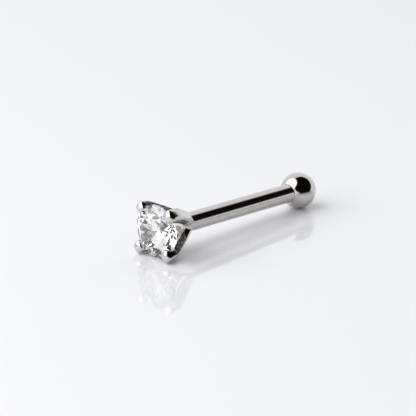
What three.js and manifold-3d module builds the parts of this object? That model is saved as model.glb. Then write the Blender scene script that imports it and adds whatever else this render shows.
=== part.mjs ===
// A nose stud: a round brilliant stone held by four claws, on a straight post with a ball end.
// Millimetres, +Z up. Each piece is modelled about the stud's own axis, which runs along +Y from
// the girdle plane of the stone at y = 0 to the ball, with the table facing -Y. The whole stud is
// then laid down on two of its claws and its ball.

import * as THREE from 'three';
import { mergeVertices } from 'three/addons/utils/BufferGeometryUtils.js';
import Module from 'manifold-3d';

const wasm = await Module();
wasm.setup();

// ---- driving dimensions -------------------------------------------------------------------

// post and ball end
const POST_DIAMETER = 0.81;         // a 20 gauge post
const BALL_DIAMETER = 1.55;
const GIRDLE_TO_BALL = 8.75;        // from the girdle plane to the centre of the ball

// stone, a round brilliant cut; slopes are degrees from the girdle plane
const STONE_DIAMETER = 2.25;
const GIRDLE_THICKNESS = 0.07;      // at its thickest, under the kite facets
const TABLE_RATIO = 0.57;           // table width over stone diameter
const KITE_SLOPE = 34.5;
const UPPER_GIRDLE_SLOPE = 40.5;
const MAIN_SLOPE = 40.8;
const LOWER_GIRDLE_SLOPE = 42.2;
const STONE_TURN = 11.25;           // degrees from a claw to the middle of the nearest kite
const STONE_GAP = 0.02;             // left all round between the stone and the metal

// claws, drawn in a plane through the stud's axis
const CLAW_REACH = 1.48;            // from the axis to the outside of a claw beside the stone
const CLAW_THICKNESS = 0.4;
const CLAW_OVERLAP = 0.19;          // how far a tip reaches in over the edge of the stone
const CLAW_LEAN = 32;               // degrees between a claw's straight shank and the axis
const CLAW_BEND_Y = 0.34;           // where the straight shank starts to bend up beside the stone
const CLAW_BEND_RADIUS = 1.29;
const CLAW_TIP_ROUND = 0.24;
const CLAW_SHOULDER = 0.05;         // how far the outside turns in just below the rounded tip
const CLAW_TIP_WIDTH = 0.42;
const CLAW_SHANK_WIDTH = 0.6;
const CLAW_WIDE_Y = 0.5;            // where a claw reaches the width of its shank
const CLAW_EDGE_ROUND = 0.13;

// The claws were pushed over the stone by hand, so they rise by different amounts over the girdle
// plane. turn is degrees round the axis, from +X towards the floor.
const CLAWS = [
  { turn: 45, rise: 0.42 },
  { turn: 135, rise: 0.34 },
  { turn: 225, rise: 0.24 },
  { turn: 315, rise: 0.34 },
];

// cup where the claws meet, and the solder fillet between it and the post
const CUP_RADIUS = 0.52;
const CUP_FLOOR_Y = 1.26;
const CUP_RIM_Y = 1.34;
const CUP_BASE_Y = 1.62;
const FILLET_LENGTH = 0.2;

// roundness
const TURN_SEGMENTS = 48;
const GIRDLE_SEGMENTS = 96;
const BALL_STEPS = 18;
const CURVE_STEPS = 7;
const EDGE_STEPS = 3;

// ---- values worked out from them ----------------------------------------------------------

const { degToRad } = THREE.MathUtils;
const tangent = (degrees) => Math.tan(degToRad(degrees));
const cosine = (degrees) => Math.cos(degToRad(degrees));

const postRadius = POST_DIAMETER / 2;
const ballRadius = BALL_DIAMETER / 2;
const stoneRadius = STONE_DIAMETER / 2;
const tableRadius = stoneRadius * TABLE_RATIO;
const halfGirdle = GIRDLE_THICKNESS / 2;

// Half the angle between neighbouring facets, in a ring of 8 and in a ring of 16.
const HALF_OF_8 = 22.5;
const HALF_OF_16 = 11.25;

// Two neighbouring girdle facets and the two large facets beside them all meet in one point. It lies
// HALF_OF_8 away from the middle of each large facet.
function facetMeeting(largeSlope, girdleSlope) {
  const large = tangent(largeSlope);
  const girdle = cosine(HALF_OF_16) * tangent(girdleSlope);
  const radius = stoneRadius * (girdle - large) / (girdle - large * cosine(HALF_OF_8));
  return { radius, height: halfGirdle + (stoneRadius - radius) * girdle };
}

const crownTop = halfGirdle + (stoneRadius - tableRadius) * tangent(KITE_SLOPE);
const pavilionTip = halfGirdle + stoneRadius * tangent(MAIN_SLOPE);
const crownMeeting = facetMeeting(KITE_SLOPE, UPPER_GIRDLE_SLOPE);
const pavilionMeeting = facetMeeting(MAIN_SLOPE, LOWER_GIRDLE_SLOPE);

// A star facet runs from the table's edge out to the crown's meeting points.
const starRun = crownMeeting.radius - tableRadius * cosine(HALF_OF_8);
const starSlope = THREE.MathUtils.radToDeg(Math.atan((crownTop - crownMeeting.height) / starRun));

// ---- solids and booleans ------------------------------------------------------------------

const MERGE_DISTANCE = 1e-5;

function solidOf(geometry) {
  const bare = geometry.clone();
  bare.deleteAttribute('normal');
  bare.deleteAttribute('uv');
  const merged = mergeVertices(bare, MERGE_DISTANCE);
  return new wasm.Manifold(new wasm.Mesh({
    numProp: 3,
    vertProperties: new Float32Array(merged.attributes.position.array),
    triVerts: new Uint32Array(merged.index.array),
  }));
}

function geometryOf(solid) {
  const mesh = solid.getMesh();
  const geometry = new THREE.BufferGeometry();
  const positions = new Float32Array(mesh.vertProperties);
  geometry.setAttribute('position', new THREE.BufferAttribute(positions, 3));
  geometry.setIndex(new THREE.BufferAttribute(new Uint32Array(mesh.triVerts), 1));
  geometry.computeVertexNormals();
  return geometry;
}

function joined(solids) {
  return solids.reduce((sum, solid) => sum.add(solid));
}

function turned(profile, segments) {
  return new THREE.LatheGeometry(profile.map(([radius, y]) => new THREE.Vector2(radius, y)), segments);
}

// ---- stone --------------------------------------------------------------------------------

// Each row is a ring of equal flat facets. side is -1 on the crown and 1 on the pavilion, turn is
// the angle of the ring's first facet, and every facet of the ring passes through a point of the
// stone at this radius and height, off degrees round from the facet's middle.
const FACET_RINGS = [
  { side: -1, count: 8, turn: 0, slope: KITE_SLOPE, radius: stoneRadius, height: halfGirdle, off: 0 },
  { side: -1, count: 16, turn: HALF_OF_16, slope: UPPER_GIRDLE_SLOPE,
    radius: stoneRadius, height: halfGirdle, off: HALF_OF_16 },
  { side: -1, count: 8, turn: HALF_OF_8, slope: starSlope,
    radius: tableRadius, height: crownTop, off: HALF_OF_8 },
  { side: 1, count: 8, turn: 0, slope: MAIN_SLOPE, radius: stoneRadius, height: halfGirdle, off: 0 },
  { side: 1, count: 16, turn: HALF_OF_16, slope: LOWER_GIRDLE_SLOPE,
    radius: stoneRadius, height: halfGirdle, off: HALF_OF_16 },
];

// A block whose inner face is one facet's plane, so that taking it away grinds that facet.
function facetBlock(ring, index) {
  const size = 4 * stoneRadius;
  const slope = degToRad(ring.slope);
  const reach = ring.radius * cosine(ring.off) * Math.sin(slope) + ring.height * Math.cos(slope);
  const block = new THREE.BoxGeometry(size, size, size);
  block.translate(0, reach + size / 2, 0);
  block.rotateZ(ring.side > 0 ? -slope : slope - Math.PI);
  block.rotateY(degToRad(45 + STONE_TURN + ring.turn + index * 360 / ring.count));
  return block;
}

function makeStone() {
  const blank = new THREE.CylinderGeometry(
    stoneRadius, stoneRadius, crownTop + pavilionTip, GIRDLE_SEGMENTS);
  blank.translate(0, (pavilionTip - crownTop) / 2, 0);
  let stone = solidOf(blank);
  for (const ring of FACET_RINGS) {
    for (let index = 0; index < ring.count; index += 1) {
      stone = stone.subtract(solidOf(facetBlock(ring, index)));
    }
  }
  return stone;
}

// The space that the stone needs, with its gap, as a turned shape round all its facets. It runs on
// past the table, so that nothing of a claw is left in front of it.
function makeStoneSpace() {
  const grown = ([radius, y]) => [radius + STONE_GAP, y + Math.sign(y) * STONE_GAP];
  const profile = [
    [0, -crownTop - STONE_GAP],
    grown([tableRadius, -crownTop]),
    grown([crownMeeting.radius, -crownMeeting.height]),
    grown([stoneRadius, -halfGirdle]),
    grown([stoneRadius, halfGirdle]),
    grown([pavilionMeeting.radius, pavilionMeeting.height]),
    [0, pavilionTip + STONE_GAP],
  ];
  return solidOf(turned(profile, GIRDLE_SEGMENTS));
}

// ---- claws --------------------------------------------------------------------------------

// A claw's side view: x is the distance from the stud's axis and y runs along it.
function clawOutline(rise) {
  const lean = tangent(CLAW_LEAN);
  const shankInset = CLAW_THICKNESS / cosine(CLAW_LEAN);
  const rootOut = CLAW_BEND_RADIUS - (CUP_BASE_Y - CLAW_BEND_Y) * lean;
  const shoulderY = CLAW_TIP_ROUND - rise;
  const tipRadius = stoneRadius - CLAW_OVERLAP;
  const insideRadius = (y) => CLAW_BEND_RADIUS - shankInset - (y - CLAW_BEND_Y) * lean;
  const insideBendY = CLAW_BEND_Y + (insideRadius(CLAW_BEND_Y) - tipRadius) / lean;

  const outline = new THREE.Shape();
  outline.moveTo(rootOut, CUP_BASE_Y);
  outline.lineTo(0, CUP_BASE_Y);
  outline.lineTo(0, CUP_FLOOR_Y);
  outline.lineTo(insideRadius(CUP_FLOOR_Y), CUP_FLOOR_Y);
  outline.lineTo(tipRadius, insideBendY);
  outline.quadraticCurveTo(tipRadius, -rise, CLAW_REACH - CLAW_TIP_ROUND, -rise);
  outline.quadraticCurveTo(CLAW_REACH, -rise, CLAW_REACH, shoulderY);
  outline.lineTo(CLAW_REACH - CLAW_SHOULDER, shoulderY + 2 * CLAW_SHOULDER);
  outline.lineTo(CLAW_BEND_RADIUS, CLAW_BEND_Y);
  outline.closePath();
  return outline;
}

// A claw widens from its tip to its shank.
function widenClaw(geometry, rise) {
  const position = geometry.attributes.position;
  for (let index = 0; index < position.count; index += 1) {
    const along = THREE.MathUtils.smoothstep(position.getY(index), -rise, CLAW_WIDE_Y);
    const width = THREE.MathUtils.lerp(CLAW_TIP_WIDTH, CLAW_SHANK_WIDTH, along);
    position.setZ(index, position.getZ(index) * width);
  }
}

function makeClaw({ turn, rise }) {
  const edgeDepth = CLAW_EDGE_ROUND / CLAW_TIP_WIDTH;
  const claw = new THREE.ExtrudeGeometry(clawOutline(rise), {
    depth: 1 - 2 * edgeDepth,
    curveSegments: CURVE_STEPS,
    bevelThickness: edgeDepth,
    bevelSize: CLAW_EDGE_ROUND,
    bevelOffset: -CLAW_EDGE_ROUND,
    bevelSegments: EDGE_STEPS,
  });
  claw.translate(0, 0, edgeDepth - 0.5);
  widenClaw(claw, rise);
  claw.rotateY(degToRad(turn));
  return solidOf(claw);
}

// ---- cup, post and ball -------------------------------------------------------------------

function makePost() {
  const ballStart = Math.asin(postRadius / ballRadius);
  const profile = [[0, CUP_FLOOR_Y], [CUP_RADIUS / 2, CUP_FLOOR_Y], [CUP_RADIUS, CUP_RIM_Y]];
  for (let step = 0; step <= CURVE_STEPS; step += 1) {
    const angle = step / CURVE_STEPS * Math.PI / 2;
    profile.push([
      CUP_RADIUS - (CUP_RADIUS - postRadius) * Math.sin(angle),
      CUP_BASE_Y + FILLET_LENGTH * (1 - Math.cos(angle)),
    ]);
  }
  for (let step = 0; step < BALL_STEPS; step += 1) {
    const angle = ballStart + (Math.PI - ballStart) * step / BALL_STEPS;
    profile.push([ballRadius * Math.sin(angle), GIRDLE_TO_BALL - ballRadius * Math.cos(angle)]);
  }
  profile.push([0, GIRDLE_TO_BALL + ballRadius]);
  return solidOf(turned(profile, TURN_SEGMENTS));
}

// Claws, cup, post and ball are soldered together, and the stone's seat is cut into the claws.
function makeMetal() {
  return joined([makePost(), ...CLAWS.map(makeClaw)]).subtract(makeStoneSpace());
}

// ---- how the stud lies --------------------------------------------------------------------

// The floor touches the ball from below, and the lowest claws decide its slope against the axis.
function restAngle(geometry) {
  const position = geometry.attributes.position;
  let steepest = 0;
  for (let index = 0; index < position.count; index += 1) {
    const toBall = GIRDLE_TO_BALL - position.getY(index);
    const drop = -position.getZ(index);
    if (position.getY(index) < CUP_BASE_Y) {
      const sight = Math.atan2(drop, toBall);
      steepest = Math.max(steepest, sight - Math.asin(ballRadius / Math.hypot(toBall, drop)));
    }
  }
  return steepest;
}

// ---- the stud -----------------------------------------------------------------------------

const clearStone = new THREE.MeshStandardMaterial({
  name: 'clear stone', color: 0xe9ebf2, roughness: 0.03, metalness: 0 });
const polishedMetal = new THREE.MeshStandardMaterial({
  name: 'polished white metal', color: 0xbdb9b5, roughness: 0.12, metalness: 1 });

const metalStud = new THREE.Mesh(geometryOf(makeMetal()), polishedMetal);
metalStud.name = 'metal_stud';
const stone = new THREE.Mesh(geometryOf(makeStone()), clearStone);
stone.name = 'stone';

const lying = new THREE.Group();
lying.add(metalStud, stone);
lying.rotation.x = -restAngle(metalStud.geometry);

const noseStud = new THREE.Group();
noseStud.add(lying);
noseStud.updateMatrixWorld(true);

// The origin is under the middle of the stud, on the surface that it lies on.
const box = new THREE.Box3().setFromObject(noseStud, true);
lying.position.set(-(box.min.x + box.max.x) / 2, -(box.min.y + box.max.y) / 2, -box.min.z);

export default noseStud;
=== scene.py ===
import math

import bmesh
import bpy
from mathutils import Matrix, Vector, noise


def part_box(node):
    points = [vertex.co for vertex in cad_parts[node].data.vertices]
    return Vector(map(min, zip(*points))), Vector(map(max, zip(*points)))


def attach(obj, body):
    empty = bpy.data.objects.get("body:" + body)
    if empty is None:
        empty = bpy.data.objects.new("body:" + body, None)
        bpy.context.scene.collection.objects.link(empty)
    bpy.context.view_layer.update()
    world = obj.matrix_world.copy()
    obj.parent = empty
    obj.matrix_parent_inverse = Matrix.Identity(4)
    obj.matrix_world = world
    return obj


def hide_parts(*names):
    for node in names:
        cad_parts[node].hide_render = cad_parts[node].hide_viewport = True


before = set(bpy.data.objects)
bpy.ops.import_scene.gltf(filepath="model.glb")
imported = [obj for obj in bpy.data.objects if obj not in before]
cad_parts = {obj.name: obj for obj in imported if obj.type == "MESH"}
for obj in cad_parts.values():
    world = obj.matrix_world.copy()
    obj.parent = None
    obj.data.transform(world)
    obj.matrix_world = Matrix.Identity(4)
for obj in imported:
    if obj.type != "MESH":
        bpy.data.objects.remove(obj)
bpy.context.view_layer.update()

bl_info = {
    "name": "Nose Stud",
    "version": (1, 0, 0),
    "blender": (4, 5, 0),
    "location": "View3D > Sidebar > Nose Stud",
    "description": "Makes a nose stud: a clear brilliant in four claws on a ball ended post",
    "category": "Add Mesh",
}

MM = 0.001
BODY = "root"


# ---- sizes and colours that a user would change --------------------------------------------

def length(name, description, millimetres):
    return bpy.props.FloatProperty(
        name=name, description=description, default=millimetres * MM,
        unit="LENGTH", subtype="DISTANCE", precision=5, min=0.0)


def angle(name, description, degrees):
    return bpy.props.FloatProperty(
        name=name, description=description, default=math.radians(degrees),
        unit="ROTATION", subtype="ANGLE")


def colour(name, description, value):
    return bpy.props.FloatVectorProperty(
        name=name, description=description, default=value,
        subtype="COLOR", size=3, min=0.0, max=1.0)


def share(name, description, value):
    return bpy.props.FloatProperty(
        name=name, description=description, default=value, subtype="FACTOR", min=0.0, max=1.0)


def strength(name, description, value):
    return bpy.props.FloatProperty(name=name, description=description, default=value, min=0.0)


class StudSizes(bpy.types.PropertyGroup):
    """The sizes of the metal"""
    post_width: length("Post width", "Diameter of the round post", 0.81)
    ball_width: length("Ball width", "Diameter of the ball end", 1.55)
    girdle_to_ball: length("Girdle to ball", "From the stone's girdle to the ball's centre", 8.75)
    cup_width: length("Cup width", "Diameter of the cup where the claws meet", 1.04)
    cup_floor: length("Cup floor", "From the girdle back to the floor of the cup", 1.26)
    cup_base: length("Cup base", "From the girdle back to the base of the cup", 1.62)
    fillet: length("Solder fillet", "Length of the solder run between cup and post", 0.20)
    claw_reach: length("Claw reach", "From the axis to the outside of a claw", 1.475)
    claw_thickness: length("Claw thickness", "Across a claw's shank, seen from its side", 0.40)
    claw_tip_thickness: length("Tip thickness", "Across a claw's tip, seen from its side", 0.52)
    claw_width: length("Claw width", "Across a claw's shank, seen from outside", 0.60)
    claw_tip_width: length("Tip width", "Across a claw's tip, seen from outside", 0.50)
    claw_bend: length("Claw bend", "From the girdle back to where a claw bends", 0.34)
    claw_bend_reach: length("Bend reach", "From the axis to the outside of that bend", 1.29)
    claw_lean: angle("Claw lean", "Between a claw's shank and the axis", 32.0)
    stone_gap: length("Stone gap", "Left between the stone and its seat", 0.02)
    grain: length("Grain", "Size of the faces of the cast head", 0.017)


class StoneSizes(bpy.types.PropertyGroup):
    """The cut of the stone"""
    width: length("Stone width", "Diameter of the girdle", 2.25)
    girdle: length("Girdle", "Height of the girdle at its thickest", 0.07)
    table: share("Table", "Width of the table over the width of the stone", 0.57)
    kite_slope: angle("Kite slope", "Slope of the eight kite facets", 34.5)
    upper_slope: angle("Upper girdle slope", "Slope of the upper girdle facets", 40.5)
    main_slope: angle("Pavilion slope", "Slope of the eight pavilion mains", 40.8)
    lower_slope: angle("Lower girdle slope", "Slope of the lower girdle facets", 42.2)
    turn: angle("Stone turn", "From a claw round to the nearest kite", 11.25)


class Finishes(bpy.types.PropertyGroup):
    """Colours and finishes"""
    metal: colour("Polished metal", "Colour of the polished steel", (0.65, 0.615, 0.59))
    metal_gloss: share("Metal roughness", "Roughness of the polish", 0.09)
    # Duller as cast, and darker still as painted shade on the claws' sides between the claws.
    cast: colour("Cast metal", "Colour of the rough sides of the claws", (0.52, 0.50, 0.48))
    cast_gloss: share("Cast roughness", "Roughness of the unpolished sides", 0.34)
    # Painted fire: the lilac tint stands in for coloured light split by the stone.
    stone: colour("Stone", "Tint of the clear stone", (0.945, 0.935, 0.98))
    stone_bend: strength("Refraction", "Refractive index of the stone", 2.16)
    floor: colour("Surface", "Colour of the white surface under the stud", (0.87, 0.875, 0.91))
    floor_gloss: share("Surface roughness", "Roughness of that surface", 0.05)


class Studio(bpy.types.PropertyGroup):
    """The stage, its lights and the camera"""
    azimuth: angle("Azimuth", "Camera's turn round the stud, from the stone's side", 43.5)
    elevation: angle("Elevation", "Camera's height above the horizon", 19.1)
    distance: length("Distance", "From the camera to the stone", 130.0)
    aim_right: length("Aim right", "How far right of the stone the camera looks", 2.12)
    aim_up: length("Aim up", "How far above the stone the camera looks", 0.963)
    lens: bpy.props.FloatProperty(
        name="Lens", description="Focal length for a 36 mm wide sensor", default=272.3,
        unit="CAMERA")
    sky: strength("Surround light", "Strength of the white surround", 0.93)
    fill: share("Fill", "How far the white sheet is lit as if the unlit part were white", 0.40)
    key: strength("Key light", "Power of the soft key light, in watts", 0.17)
    key_size: length("Key size", "Width of the key light", 205.0)
    key_turn: angle("Key turn", "From the camera round to the key light", -75.0)
    key_height: angle("Key height", "Height of the key light above the horizon", 43.0)
    room_turn: angle("Dark room turn", "From the camera round to the unlit part of the room", 45.0)
    room_height: angle("Dark room height", "Height of the unlit part's middle", 50.0)
    room_reach: angle("Dark room reach", "Half the width of the unlit part", 59.0)


def sizes():
    return bpy.context.scene.stud_sizes


def cut():
    return bpy.context.scene.stone_sizes


def looks():
    return bpy.context.scene.stud_finishes


def studio():
    return bpy.context.scene.stud_studio


def mm(value):
    """A stored length in millimetres, which all meshes here are made in."""
    return value / MM


# ---- where the stud lies, from the frame ----------------------------------------------------

def stud_to_frame():
    """Stud space has the girdle plane at y = 0, the ball at +y and the stone's table facing -y."""
    ball_radius = sizes().ball_width / 2
    stone_low, stone_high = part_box("stone")
    metal_low, metal_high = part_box("metal_stud")
    across = (stone_low.x + stone_high.x) / 2
    girdle_height = (stone_low.z + stone_high.z) / 2
    drop = girdle_height - ball_radius
    run = math.sqrt(sizes().girdle_to_ball ** 2 - drop ** 2)
    girdle = Vector((across, metal_high.y - ball_radius - run, girdle_height))
    return Matrix.Translation(girdle) @ Matrix.Rotation(-math.atan2(drop, run), 4, "X")


# ---- mesh helpers -----------------------------------------------------------------------------

def new_object(name, mesh):
    piece = bpy.data.objects.new(name, mesh)
    bpy.context.scene.collection.objects.link(piece)
    return piece


def object_from(bm, name):
    bmesh.ops.recalc_face_normals(bm, faces=bm.faces)
    mesh = bpy.data.meshes.new(name)
    bm.to_mesh(mesh)
    bm.free()
    return new_object(name, mesh)


def skin_rings(bm, rings):
    """Joins rings of equal point counts with quads and closes both ends."""
    made = [[bm.verts.new(point) for point in ring] for ring in rings]
    count = len(rings[0])
    for lower, upper in zip(made, made[1:]):
        for index in range(count):
            after = (index + 1) % count
            bm.faces.new((lower[index], lower[after], upper[after], upper[index]))
    bm.faces.new(made[0])
    bm.faces.new(made[-1])


def turned(name, profile, segments):
    """A solid turned round the stud's axis. The profile is (radius, y) and starts and ends on it."""
    bm = bmesh.new()
    first = bm.verts.new((0, profile[0][1], 0))
    last = bm.verts.new((0, profile[-1][1], 0))
    rings = []
    for radius, y in profile[1:-1]:
        rings.append([
            bm.verts.new((radius * math.cos(turn), y, radius * math.sin(turn)))
            for turn in (2 * math.pi * index / segments for index in range(segments))])
    for index in range(segments):
        after = (index + 1) % segments
        bm.faces.new((first, rings[0][index], rings[0][after]))
        bm.faces.new((last, rings[-1][after], rings[-1][index]))
        for lower, upper in zip(rings, rings[1:]):
            bm.faces.new((lower[index], upper[index], upper[after], lower[after]))
    return object_from(bm, name)


def apply_modifier(piece, kind, **settings):
    modifier = piece.modifiers.new(kind.title(), kind)
    for key, value in settings.items():
        setattr(modifier, key, value)
    graph = bpy.context.evaluated_depsgraph_get()
    mesh = bpy.data.meshes.new_from_object(piece.evaluated_get(graph))
    piece.modifiers.clear()
    old = piece.data
    piece.data = mesh
    bpy.data.meshes.remove(old)


def combine(piece, other, operation):
    """Joins another closed solid to the piece, or cuts it away, and removes it."""
    apply_modifier(piece, "BOOLEAN", operation=operation, solver="MANIFOLD", object=other)
    mesh = other.data
    bpy.data.objects.remove(other)
    bpy.data.meshes.remove(mesh)


def finish_piece(piece, body, nodes, material):
    """Brings a piece from stud space in millimetres to its place, and gives it its finish."""
    piece.data.transform(stud_to_frame() @ Matrix.Scale(MM, 4))
    piece.data.materials.clear()
    piece.data.materials.append(material)
    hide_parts(*nodes)
    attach(piece, body)


# ---- stone ------------------------------------------------------------------------------------

EIGHTH = math.radians(45)
SIXTEENTH = math.radians(22.5)
GIRDLE_STEPS = 192


def facet_meeting(large_slope, girdle_slope):
    """Radius and height of the point where two girdle facets meet the two large facets beside them."""
    radius = mm(cut().width) / 2
    large = math.tan(large_slope)
    girdle = math.cos(SIXTEENTH / 2) * math.tan(girdle_slope)
    meeting = radius * (girdle - large) / (girdle - large * math.cos(SIXTEENTH))
    return meeting, mm(cut().girdle) / 2 + (radius - meeting) * girdle


def stone_heights():
    """The table's radius, and the heights of the table and of the pavilion's tip."""
    radius = mm(cut().width) / 2
    half_girdle = mm(cut().girdle) / 2
    table = radius * cut().table
    crown = half_girdle + (radius - table) * math.tan(cut().kite_slope)
    return table, crown, half_girdle + radius * math.tan(cut().main_slope)


def facet_rings():
    """Rings of equal facets: side, count, turn of the first, slope, and one point they pass through."""
    radius = mm(cut().width) / 2
    half_girdle = mm(cut().girdle) / 2
    table, crown, _ = stone_heights()
    meeting, meeting_height = facet_meeting(cut().kite_slope, cut().upper_slope)
    star_slope = math.atan2(crown - meeting_height, meeting - table * math.cos(SIXTEENTH))
    edge = (radius, half_girdle)
    return (
        # side, count, turn, slope, (radius, height), turn of that point from the facet's middle
        (-1, 8, 0.0, cut().kite_slope, edge, 0.0),
        (-1, 16, SIXTEENTH / 2, cut().upper_slope, edge, SIXTEENTH / 2),
        (-1, 8, SIXTEENTH, star_slope, (table, crown), SIXTEENTH),
        (1, 8, 0.0, cut().main_slope, edge, 0.0),
        (1, 16, SIXTEENTH / 2, cut().lower_slope, edge, SIXTEENTH / 2),
    )


def grind(bm, normal, reach):
    """Takes away all that is beyond a plane, and closes the flat facet that is left."""
    geometry = bm.verts[:] + bm.edges[:] + bm.faces[:]
    result = bmesh.ops.bisect_plane(
        bm, geom=geometry, plane_co=normal * reach, plane_no=normal, clear_outer=True, dist=1e-6)
    edges = [item for item in result["geom_cut"] if isinstance(item, bmesh.types.BMEdge)]
    bmesh.ops.contextual_create(bm, geom=edges)


def cut_stone(name):
    radius = mm(cut().width) / 2
    _, crown, tip = stone_heights()
    bm = bmesh.new()
    rings = []
    for y in (-crown, tip):
        rings.append([
            Vector((radius * math.cos(turn), y, radius * math.sin(turn)))
            for turn in (2 * math.pi * index / GIRDLE_STEPS for index in range(GIRDLE_STEPS))])
    skin_rings(bm, rings)
    for side, count, first_turn, slope, (point_radius, height), off in facet_rings():
        reach = point_radius * math.cos(off) * math.sin(slope) + height * math.cos(slope)
        for index in range(count):
            turn = EIGHTH + cut().turn + first_turn + 2 * math.pi * index / count
            normal = Vector((
                math.sin(slope) * math.cos(turn),
                side * math.cos(slope),
                -math.sin(slope) * math.sin(turn)))
            grind(bm, normal, reach)
    bmesh.ops.remove_doubles(bm, verts=bm.verts, dist=2e-4)
    bmesh.ops.dissolve_degenerate(bm, edges=bm.edges, dist=1e-5)
    return object_from(bm, name)


# ---- metal ------------------------------------------------------------------------------------

SECTION_STEPS = 40
CLAW_STEPS = 56
SHANK_SQUARENESS = 4.6
TIP_SQUARENESS = 3.0
SMALLEST_RING = 0.06

# Shares of a claw's length, from its root to its tip: where it thickens, where it narrows, and how
# much of it is the rounded end.
THICKENING = (0.62, 0.81)
NARROWING = (0.605, 0.96)
CAP_SHARE = 0.087

# The root runs on into the cup by this many half thicknesses, and is then cut off at the cup's base.
ROOT_RUN_ON = 1.5

# Between its bend and its tip a claw bows outward a little. The inset and the bow are millimetres.
TIP_INSET = 0.02
BOW_PLACE = 0.35
BOW = Vector((0.035, 0))

# One row for each claw: its turn round the axis, from +X towards the floor, how far it rises over
# the girdle, the width of its tip against the usual one, and how much further back it bends. They
# were pushed over the stone by hand, so they differ.
CLAWS = (
    (math.radians(45), 0.42, 1.0, 0.0),
    (math.radians(135), 0.34, 1.0, 0.0),
    (math.radians(225), 0.24, 0.98, 0.0),
    (math.radians(315), 0.34, 1.15, 0.16),
)


def smooth(low, high, value):
    part = min(1.0, max(0.0, (value - low) / (high - low)))
    return part * part * (3 - 2 * part)


def blend_between(low, high, part):
    return low + (high - low) * part


def claw_line(rise, bend_back):
    """The middle line of a claw, from root to tip, as (radius, y) points of equal step."""
    lean = sizes().claw_lean
    half = mm(sizes().claw_thickness) / 2
    along = Vector((math.sin(lean), -math.cos(lean)))
    inward = Vector((-math.cos(lean), -math.sin(lean)))
    bend_y = mm(sizes().claw_bend) + bend_back
    bend = Vector((mm(sizes().claw_bend_reach), bend_y)) + inward * half
    root_run = (mm(sizes().cup_base) - bend_y) / math.cos(lean)
    root = bend - along * (root_run + half * ROOT_RUN_ON)
    tip_reach = mm(sizes().claw_reach) - mm(sizes().claw_tip_thickness) / 2 - TIP_INSET
    tip = Vector((tip_reach, -rise))
    corner = bend.lerp(tip, BOW_PLACE) + BOW
    points = [root + (bend - root) * step / 24 for step in range(24)]
    for step in range(25):
        part = step / 24
        points.append(
            bend * (1 - part) ** 2 + corner * 2 * part * (1 - part) + tip * part ** 2)
    return even_steps(points, CLAW_STEPS)


def even_steps(points, count):
    """Points at equal distances along a line of straight pieces."""
    lengths = [0.0]
    for before, after in zip(points, points[1:]):
        lengths.append(lengths[-1] + (after - before).length)
    result, piece = [], 0
    for index in range(count + 1):
        wanted = lengths[-1] * index / count
        while piece < len(points) - 2 and lengths[piece + 1] < wanted:
            piece += 1
        part = (wanted - lengths[piece]) / (lengths[piece + 1] - lengths[piece])
        result.append(points[piece].lerp(points[piece + 1], min(1.0, part)))
    return result


def claw_section(centre, along, thickness, width, size, squareness):
    """One rounded rectangle across a claw, as points in stud space before the claw is turned."""
    outward = Vector((-along.y, along.x))
    if outward.x < 0:
        outward = -outward
    ring = []
    for index in range(SECTION_STEPS):
        turn = 2 * math.pi * index / SECTION_STEPS
        across = math.copysign(abs(math.cos(turn)) ** (2 / squareness), math.cos(turn))
        aside = math.copysign(abs(math.sin(turn)) ** (2 / squareness), math.sin(turn))
        point = centre + outward * across * thickness / 2 * size
        ring.append(Vector((point.x, point.y, aside * width / 2 * size)))
    return ring


def make_claw(turn, rise, tip_share, bend_back):
    line = claw_line(rise, bend_back)
    rings = []
    last = len(line) - 1
    for index, centre in enumerate(line):
        before, after = line[max(0, index - 1)], line[min(last, index + 1)]
        along = (after - before).normalized()
        part = index / last
        swell = smooth(*THICKENING, part)
        thickness = blend_between(
            mm(sizes().claw_thickness), mm(sizes().claw_tip_thickness), swell)
        width = blend_between(
            mm(sizes().claw_width), mm(sizes().claw_tip_width) * tip_share,
            smooth(*NARROWING, part))
        from_end = (1 - part) / CAP_SHARE
        rounding = math.sqrt(max(0.0, 1 - (1 - min(1.0, from_end)) ** 2))
        squareness = blend_between(SHANK_SQUARENESS, TIP_SQUARENESS, swell)
        size = max(rounding, SMALLEST_RING)
        rings.append(claw_section(centre, along, thickness, width, size, squareness))
    bm = bmesh.new()
    skin_rings(bm, rings)
    grind(bm, Vector((0, 1, 0)), mm(sizes().cup_base))
    claw = object_from(bm, "claw")
    claw.data.transform(Matrix.Rotation(turn, 4, "Y"))
    return claw


def stone_room():
    """The space that the stone and its gap need."""
    gap = mm(sizes().stone_gap)
    radius = mm(cut().width) / 2
    half_girdle = mm(cut().girdle) / 2
    table, crown, tip = stone_heights()
    upper, upper_height = facet_meeting(cut().kite_slope, cut().upper_slope)
    lower, lower_height = facet_meeting(cut().main_slope, cut().lower_slope)
    profile = (
        (0, -crown - gap),
        (table + gap, -crown - gap),
        (upper + gap, -upper_height - gap),
        (radius + gap, -half_girdle - gap),
        (radius + gap, half_girdle + gap),
        (lower + gap, lower_height + gap),
        (0, tip + gap),
    )
    return turned("stone_room", profile, 160)


# The cup's flat floor as a share of its width, and the dish round it. The plug runs on inside the
# post, which is joined to it afterwards.
CUP_FLOOR_SHARE = 0.5
CUP_RIM_DEPTH = 0.08
FILLET_STEPS = 12
PLUG_INSET = 0.06
PLUG_LENGTH = 0.1
SMOOTH_PASSES = 4


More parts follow.
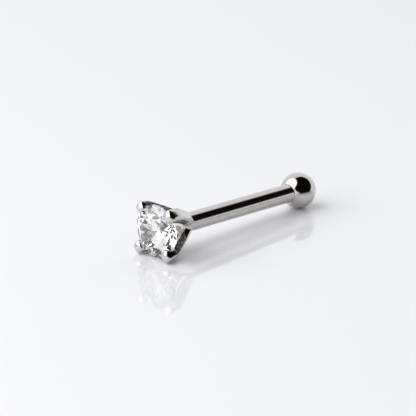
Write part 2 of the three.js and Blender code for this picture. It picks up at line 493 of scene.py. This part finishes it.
def make_head():
    """Four claws, the cup and the solder run, cast and soldered into one smooth solid."""
    cup, post = mm(sizes().cup_width) / 2, mm(sizes().post_width) / 2
    floor, base, fillet = mm(sizes().cup_floor), mm(sizes().cup_base), mm(sizes().fillet)
    profile = [(0, floor), (cup * CUP_FLOOR_SHARE, floor), (cup, floor + CUP_RIM_DEPTH)]
    for step in range(FILLET_STEPS + 1):
        turn = math.pi / 2 * step / FILLET_STEPS
        profile.append((cup - (cup - post) * math.sin(turn), base + fillet * (1 - math.cos(turn))))
    profile.append((post - PLUG_INSET, base + fillet + PLUG_LENGTH))
    profile.append((0, base + fillet + PLUG_LENGTH))
    head = turned("head", profile, 96)
    for claw in CLAWS:
        combine(head, make_claw(*claw), "UNION")
    combine(head, stone_room(), "DIFFERENCE")
    grain = mm(sizes().grain)
    apply_modifier(head, "REMESH", mode="VOXEL", voxel_size=grain, adaptivity=0.0)
    apply_modifier(head, "SMOOTH", factor=0.5, iterations=SMOOTH_PASSES)
    return head


SHARP_FROM = math.radians(28)
POST_BEVEL = 0.05
POST_STEPS = 40
BALL_STEPS = 56
POST_SEGMENTS = 128


def make_post():
    """The straight post and its ball end, turned in one."""
    post, ball = mm(sizes().post_width) / 2, mm(sizes().ball_width) / 2
    centre = mm(sizes().girdle_to_ball)
    start = mm(sizes().cup_base)
    opening = math.asin(post / ball)
    neck = centre - ball * math.cos(opening)
    bevel_end = start + POST_BEVEL
    profile = [(0, start), (post - POST_BEVEL, start), (post, bevel_end)]
    for step in range(1, POST_STEPS + 1):
        profile.append((post, blend_between(bevel_end, neck, step / POST_STEPS)))
    for step in range(1, BALL_STEPS):
        turn = opening + (math.pi - opening) * step / BALL_STEPS
        profile.append((ball * math.sin(turn), centre - ball * math.cos(turn)))
    profile.append((0, centre + ball))
    return turned("post", profile, POST_SEGMENTS)


# From cast to fully buffed: how far a face looks outward, and how far it looks at the stone.
BUFFED_OUTSIDE = (0.2, 0.45)
BUFFED_INSIDE = (0.3, 0.5)

# The same in millimetres: over the girdle towards a claw's tip, and before the cup's floor.
TIP_BUFFED = (-0.12, 0.02)
CUP_BUFFED = 0.12
CUP_MARGIN = 0.15


def mark_polish(piece):
    """Writes how polished each point is. Only the side faces of the claws were left as cast, and the
    same value lays the painted shade of the cast colour on them.
    """
    mesh = piece.data
    polish = mesh.attributes.new("polish", "FLOAT", "POINT")
    values = []
    claws_end = mm(sizes().cup_floor) - CUP_MARGIN
    for vertex in mesh.vertices:
        if vertex.co.y > claws_end:
            values.append(1.0)
            continue
        side = Vector((math.copysign(1, vertex.co.x), 0, math.copysign(1, vertex.co.z)))
        outward = vertex.normal.dot(side.normalized())
        values.append(max(
            smooth(*BUFFED_OUTSIDE, outward),
            smooth(*BUFFED_INSIDE, -outward),
            smooth(*TIP_BUFFED, -vertex.co.y),
            smooth(claws_end - CUP_BUFFED, claws_end, vertex.co.y)))
    polish.data.foreach_set("value", values)


# How close together the lumps are and how high, coarse and fine, and how far all of it is sunk.
LUMPS = ((9.0, 0.010), (24.0, 0.006))
SUNK = 0.006
LEAST_ROUGH = 0.02


def roughen(piece):
    """Small pits and ridges of the casting, only where the metal wasn't polished."""
    mesh = piece.data
    polish = mesh.attributes["polish"].data
    moved = []
    for vertex in mesh.vertices:
        rough = 1 - polish[vertex.index].value
        if rough < LEAST_ROUGH:
            continue
        lump = sum(noise.noise(vertex.co * waves) * height for waves, height in LUMPS)
        moved.append((vertex.index, vertex.normal * (lump - SUNK) * rough))
    for index, shift in moved:
        mesh.vertices[index].co += shift


# ---- materials ----------------------------------------------------------------------------------

class Nodes:
    """A material's node tree, with short ways to add and join nodes."""

    def __init__(self, name):
        self.material = bpy.data.materials.new(name)
        self.material.use_nodes = True
        self.tree = self.material.node_tree
        self.shader = self.tree.nodes["Principled BSDF"]

    def add(self, kind, **settings):
        node = self.tree.nodes.new(kind)
        for key, value in settings.items():
            if key in node.inputs:
                node.inputs[key].default_value = value
            else:
                setattr(node, key, value)
        return node

    def join(self, source, target):
        self.tree.links.new(source, target)

    def set(self, **values):
        for key, value in values.items():
            self.shader.inputs[key.replace("_", " ")].default_value = value

    def place(self):
        """Coordinates in millimetres, fixed to the object."""
        coordinates = self.add("ShaderNodeTexCoord")
        scaled = self.add("ShaderNodeVectorMath", operation="SCALE")
        scaled.inputs["Scale"].default_value = 1 / MM
        self.join(coordinates.outputs["Object"], scaled.inputs[0])
        return scaled.outputs[0]

    def noise(self, place, scale, detail=3.0, roughness=0.55):
        node = self.add("ShaderNodeTexNoise")
        node.inputs["Scale"].default_value = scale
        node.inputs["Detail"].default_value = detail
        node.inputs["Roughness"].default_value = roughness
        self.join(place, node.inputs["Vector"])
        return node.outputs["Fac"]

    def ramp(self, source, low, high, from_value, to_value):
        node = self.add("ShaderNodeMapRange")
        for key, value in (("From Min", low), ("From Max", high),
                           ("To Min", from_value), ("To Max", to_value)):
            node.inputs[key].default_value = value
        self.join(source, node.inputs["Value"])
        return node.outputs["Result"]

    def mix_colour(self, factor, first, second):
        node = self.add("ShaderNodeMix", data_type="RGBA")
        self.join(factor, node.inputs[0])
        for socket, value in ((node.inputs[6], first), (node.inputs[7], second)):
            if isinstance(value, bpy.types.NodeSocket):
                self.join(value, socket)
            else:
                socket.default_value = (*value, 1.0)
        return node.outputs[2]

    def mix_value(self, factor, first, second):
        node = self.add("ShaderNodeMix", data_type="FLOAT")
        self.join(factor, node.inputs[0])
        for socket, value in ((node.inputs[2], first), (node.inputs[3], second)):
            if isinstance(value, bpy.types.NodeSocket):
                self.join(value, socket)
            else:
                socket.default_value = value
        return node.outputs[0]


WORN = 0.93
# Painted shade in the pits: how dark the cast colour goes at the bottom of a pit.
PAINTED_PIT_SHADE = 0.10
BUMP_HEIGHT = 0.02
CAST_BUMP, BUFFED_BUMP = 0.9, 0.015


def steel_finish():
    """Buffed steel outside, dull and pitted casting on the sides of the claws, darkened there by
    painted shade, most of all in the pits.
    """
    nodes = Nodes("polished_steel")
    place = nodes.place()
    polish = nodes.add("ShaderNodeAttribute", attribute_name="polish").outputs["Fac"]
    haze = nodes.noise(place, 3.0)
    pits = nodes.noise(place, 11.0, detail=5.0, roughness=0.75)
    base = looks().metal
    worn = tuple(part * WORN for part in base)
    buffed = nodes.mix_colour(nodes.ramp(haze, 0.35, 0.65, 0.0, 1.0), tuple(base), worn)
    # Painted shade: the cast colour darkens to nearly black in the pits.
    pit_shade = tuple(part * PAINTED_PIT_SHADE for part in looks().cast)
    cast = nodes.mix_colour(nodes.ramp(pits, 0.45, 0.56, 0.0, 1.0), pit_shade, tuple(looks().cast))
    nodes.join(nodes.mix_colour(polish, cast, buffed), nodes.shader.inputs["Base Color"])
    gloss = nodes.ramp(haze, 0.3, 0.7, looks().metal_gloss * 0.7, looks().metal_gloss * 1.3)
    nodes.join(nodes.mix_value(polish, looks().cast_gloss, gloss), nodes.shader.inputs["Roughness"])
    bump = nodes.add("ShaderNodeBump")
    bump.inputs["Distance"].default_value = BUMP_HEIGHT * MM
    nodes.join(pits, bump.inputs["Height"])
    nodes.join(nodes.mix_value(polish, CAST_BUMP, BUFFED_BUMP), bump.inputs["Strength"])
    nodes.join(bump.outputs["Normal"], nodes.shader.inputs["Normal"])
    nodes.set(Metallic=1.0)
    return nodes.material


STRAW_GREEN, STRAW_BLUE = 0.995, 0.92


def stone_finish():
    """Clear, hard and bright, with the faintest lilac and straw tints, which are painted fire: colour
    standing in for light split by the stone.
    """
    nodes = Nodes("clear_stone")
    place = nodes.place()
    cloud = nodes.noise(place, 1.1, detail=1.0)
    lilac = tuple(looks().stone)
    # The straw is painted fire too, mixed with the lilac in patches.
    straw = (lilac[0], lilac[1] * STRAW_GREEN, lilac[2] * STRAW_BLUE)
    tint = nodes.mix_colour(nodes.ramp(cloud, 0.42, 0.62, 0.0, 1.0), lilac, straw)
    nodes.join(tint, nodes.shader.inputs["Base Color"])
    nodes.set(Roughness=0.0, IOR=looks().stone_bend, Transmission_Weight=1.0)
    return nodes.material


def surface_finish():
    """A glossy white sheet."""
    nodes = Nodes("white_surface")
    place = nodes.place()
    cloud = nodes.noise(place, 0.02)
    base = tuple(looks().floor)
    cool = tuple(part * 0.985 for part in base)
    nodes.join(nodes.mix_colour(cloud, base, cool), nodes.shader.inputs["Base Color"])
    nodes.set(Roughness=looks().floor_gloss, IOR=1.5)
    return nodes.material


# ---- stage --------------------------------------------------------------------------------------

SHEET_HALF = 1.5
WALL_TONE = (0.98, 0.985, 1.0)
ROOM_TONE = (0.006, 0.004, 0.004)
ROOM_EDGE = math.radians(4)


def toward(turn, rise):
    """The direction to a place, turned round from the stone's side and raised from the horizon."""
    return Vector((
        math.sin(turn) * math.cos(rise), -math.cos(turn) * math.cos(rise), math.sin(rise)))


def make_camera():
    setting = studio()
    back = toward(setting.azimuth, setting.elevation)
    right = Vector((math.cos(setting.azimuth), math.sin(setting.azimuth), 0))
    up = back.cross(right)
    girdle = stud_to_frame().translation
    aim = girdle + right * setting.aim_right + up * setting.aim_up
    data = bpy.data.cameras.new("camera")
    data.sensor_width = 36
    data.lens = setting.lens
    data.clip_start = 0.005
    data.clip_end = 5
    camera = bpy.data.objects.new("camera", data)
    camera.location = aim + back * setting.distance
    camera.rotation_mode = "QUATERNION"
    camera.rotation_quaternion = (-back).to_track_quat("-Z", "Y")
    bpy.context.scene.collection.objects.link(camera)
    bpy.context.scene.camera = camera


def make_key_light():
    """A large round softbox to the left of the camera."""
    setting = studio()
    data = bpy.data.lights.new("key_light", "AREA")
    data.shape = "DISK"
    data.size = setting.key_size
    data.energy = setting.key
    lamp = bpy.data.objects.new("key_light", data)
    place = toward(setting.azimuth + setting.key_turn, setting.key_height)
    lamp.location = place * setting.distance
    lamp.rotation_mode = "QUATERNION"
    lamp.rotation_quaternion = place.to_track_quat("Z", "Y")
    bpy.context.scene.collection.objects.link(lamp)


def make_floor():
    bm = bmesh.new()
    bmesh.ops.create_grid(bm, x_segments=8, y_segments=8, size=SHEET_HALF)
    floor = object_from(bm, "white_sheet")
    floor.data.materials.append(surface_finish())


def make_surround():
    """White walls all round, with an unlit part above and beside the camera.

    Light that has gone through the stone finds white walls only, which keeps the stone clear, and the
    white sheet is partly lit as if the unlit part were white too.
    """
    setting = studio()
    world = bpy.data.worlds.new("white_surround")
    world.use_nodes = True
    tree = world.node_tree
    place = tree.nodes.new("ShaderNodeTexCoord")
    facing = tree.nodes.new("ShaderNodeVectorMath")
    facing.operation = "DOT_PRODUCT"
    facing.inputs[1].default_value = toward(setting.azimuth + setting.room_turn, setting.room_height)
    tree.links.new(place.outputs["Generated"], facing.inputs[0])
    edge = tree.nodes.new("ShaderNodeMapRange")
    edge.interpolation_type = "SMOOTHSTEP"
    edge.inputs["From Min"].default_value = math.cos(setting.room_reach + ROOM_EDGE)
    edge.inputs["From Max"].default_value = math.cos(setting.room_reach - ROOM_EDGE)
    tree.links.new(facing.outputs["Value"], edge.inputs["Value"])
    tone = tree.nodes.new("ShaderNodeMix")
    tone.data_type = "RGBA"
    tone.inputs[6].default_value = (*WALL_TONE, 1.0)
    tone.inputs[7].default_value = (*ROOM_TONE, 1.0)
    path = tree.nodes.new("ShaderNodeLightPath")
    shown = tree.nodes.new("ShaderNodeMath")
    shown.operation = "SUBTRACT"
    shown.use_clamp = True
    tree.links.new(edge.outputs["Result"], shown.inputs[0])
    tree.links.new(path.outputs["Is Transmission Ray"], shown.inputs[1])
    filled = tree.nodes.new("ShaderNodeMath")
    filled.operation = "MULTIPLY_ADD"
    filled.use_clamp = True
    filled.inputs[1].default_value = -setting.fill
    tree.links.new(path.outputs["Is Diffuse Ray"], filled.inputs[0])
    tree.links.new(shown.outputs["Value"], filled.inputs[2])
    tree.links.new(filled.outputs["Value"], tone.inputs[0])
    background = tree.nodes["Background"]
    background.inputs["Strength"].default_value = setting.sky
    tree.links.new(tone.outputs[2], background.inputs["Color"])
    bpy.context.scene.world = world


# ---- operators ------------------------------------------------------------------------------------

class STUD_OT_metal(bpy.types.Operator):
    """Make the claws, cup, post and ball"""
    bl_idname = "stud.metal"
    bl_label = "Metal"

    def execute(self, context):
        metal = make_head()
        combine(metal, make_post(), "UNION")
        metal.name = metal.data.name = "soldered_stud"
        mark_polish(metal)
        roughen(metal)
        metal.data.shade_smooth()
        metal.data.set_sharp_from_angle(angle=SHARP_FROM)
        finish_piece(metal, BODY, ["metal_stud"], steel_finish())
        return {"FINISHED"}


class STUD_OT_stone(bpy.types.Operator):
    """Cut the round brilliant stone"""
    bl_idname = "stud.stone"
    bl_label = "Stone"

    def execute(self, context):
        stone = cut_stone("brilliant_stone")
        stone.data.shade_flat()
        finish_piece(stone, BODY, ["stone"], stone_finish())
        return {"FINISHED"}


class STUD_OT_stage(bpy.types.Operator):
    """Set the white sheet, the surround, the lights and the camera"""
    bl_idname = "stud.stage"
    bl_label = "Stage"

    def execute(self, context):
        scene = context.scene
        scene.view_settings.view_transform = "Standard"
        make_camera()
        make_floor()
        make_surround()
        make_key_light()
        return {"FINISHED"}


STUD_STEPS = (STUD_OT_stage, STUD_OT_metal, STUD_OT_stone)


class STUD_PT_panel(bpy.types.Panel):
    """Lists the steps that make the nose stud"""
    bl_idname = "STUD_PT_panel"
    bl_label = "Nose Stud"
    bl_space_type = "VIEW_3D"
    bl_region_type = "UI"
    bl_category = "Nose Stud"

    def draw(self, context):
        layout = self.layout
        for step in STUD_STEPS:
            layout.operator(step.bl_idname)
        for group in (sizes(), cut(), looks(), studio()):
            box = layout.box()
            for name in group.__annotations__:
                box.prop(group, name)


GROUPS = {
    "stud_sizes": StudSizes,
    "stone_sizes": StoneSizes,
    "stud_finishes": Finishes,
    "stud_studio": Studio,
}
CLASSES = (*GROUPS.values(), *STUD_STEPS, STUD_PT_panel)


def register():
    for made in CLASSES:
        bpy.utils.register_class(made)
    for name, group in GROUPS.items():
        setattr(bpy.types.Scene, name, bpy.props.PointerProperty(type=group))


def unregister():
    for name in GROUPS:
        delattr(bpy.types.Scene, name)
    for made in reversed(CLASSES):
        bpy.utils.unregister_class(made)


def main():
    register()
    bpy.ops.stud.stage()
    bpy.ops.stud.metal()
    bpy.ops.stud.stone()


if __name__ == "__main__":
    main()
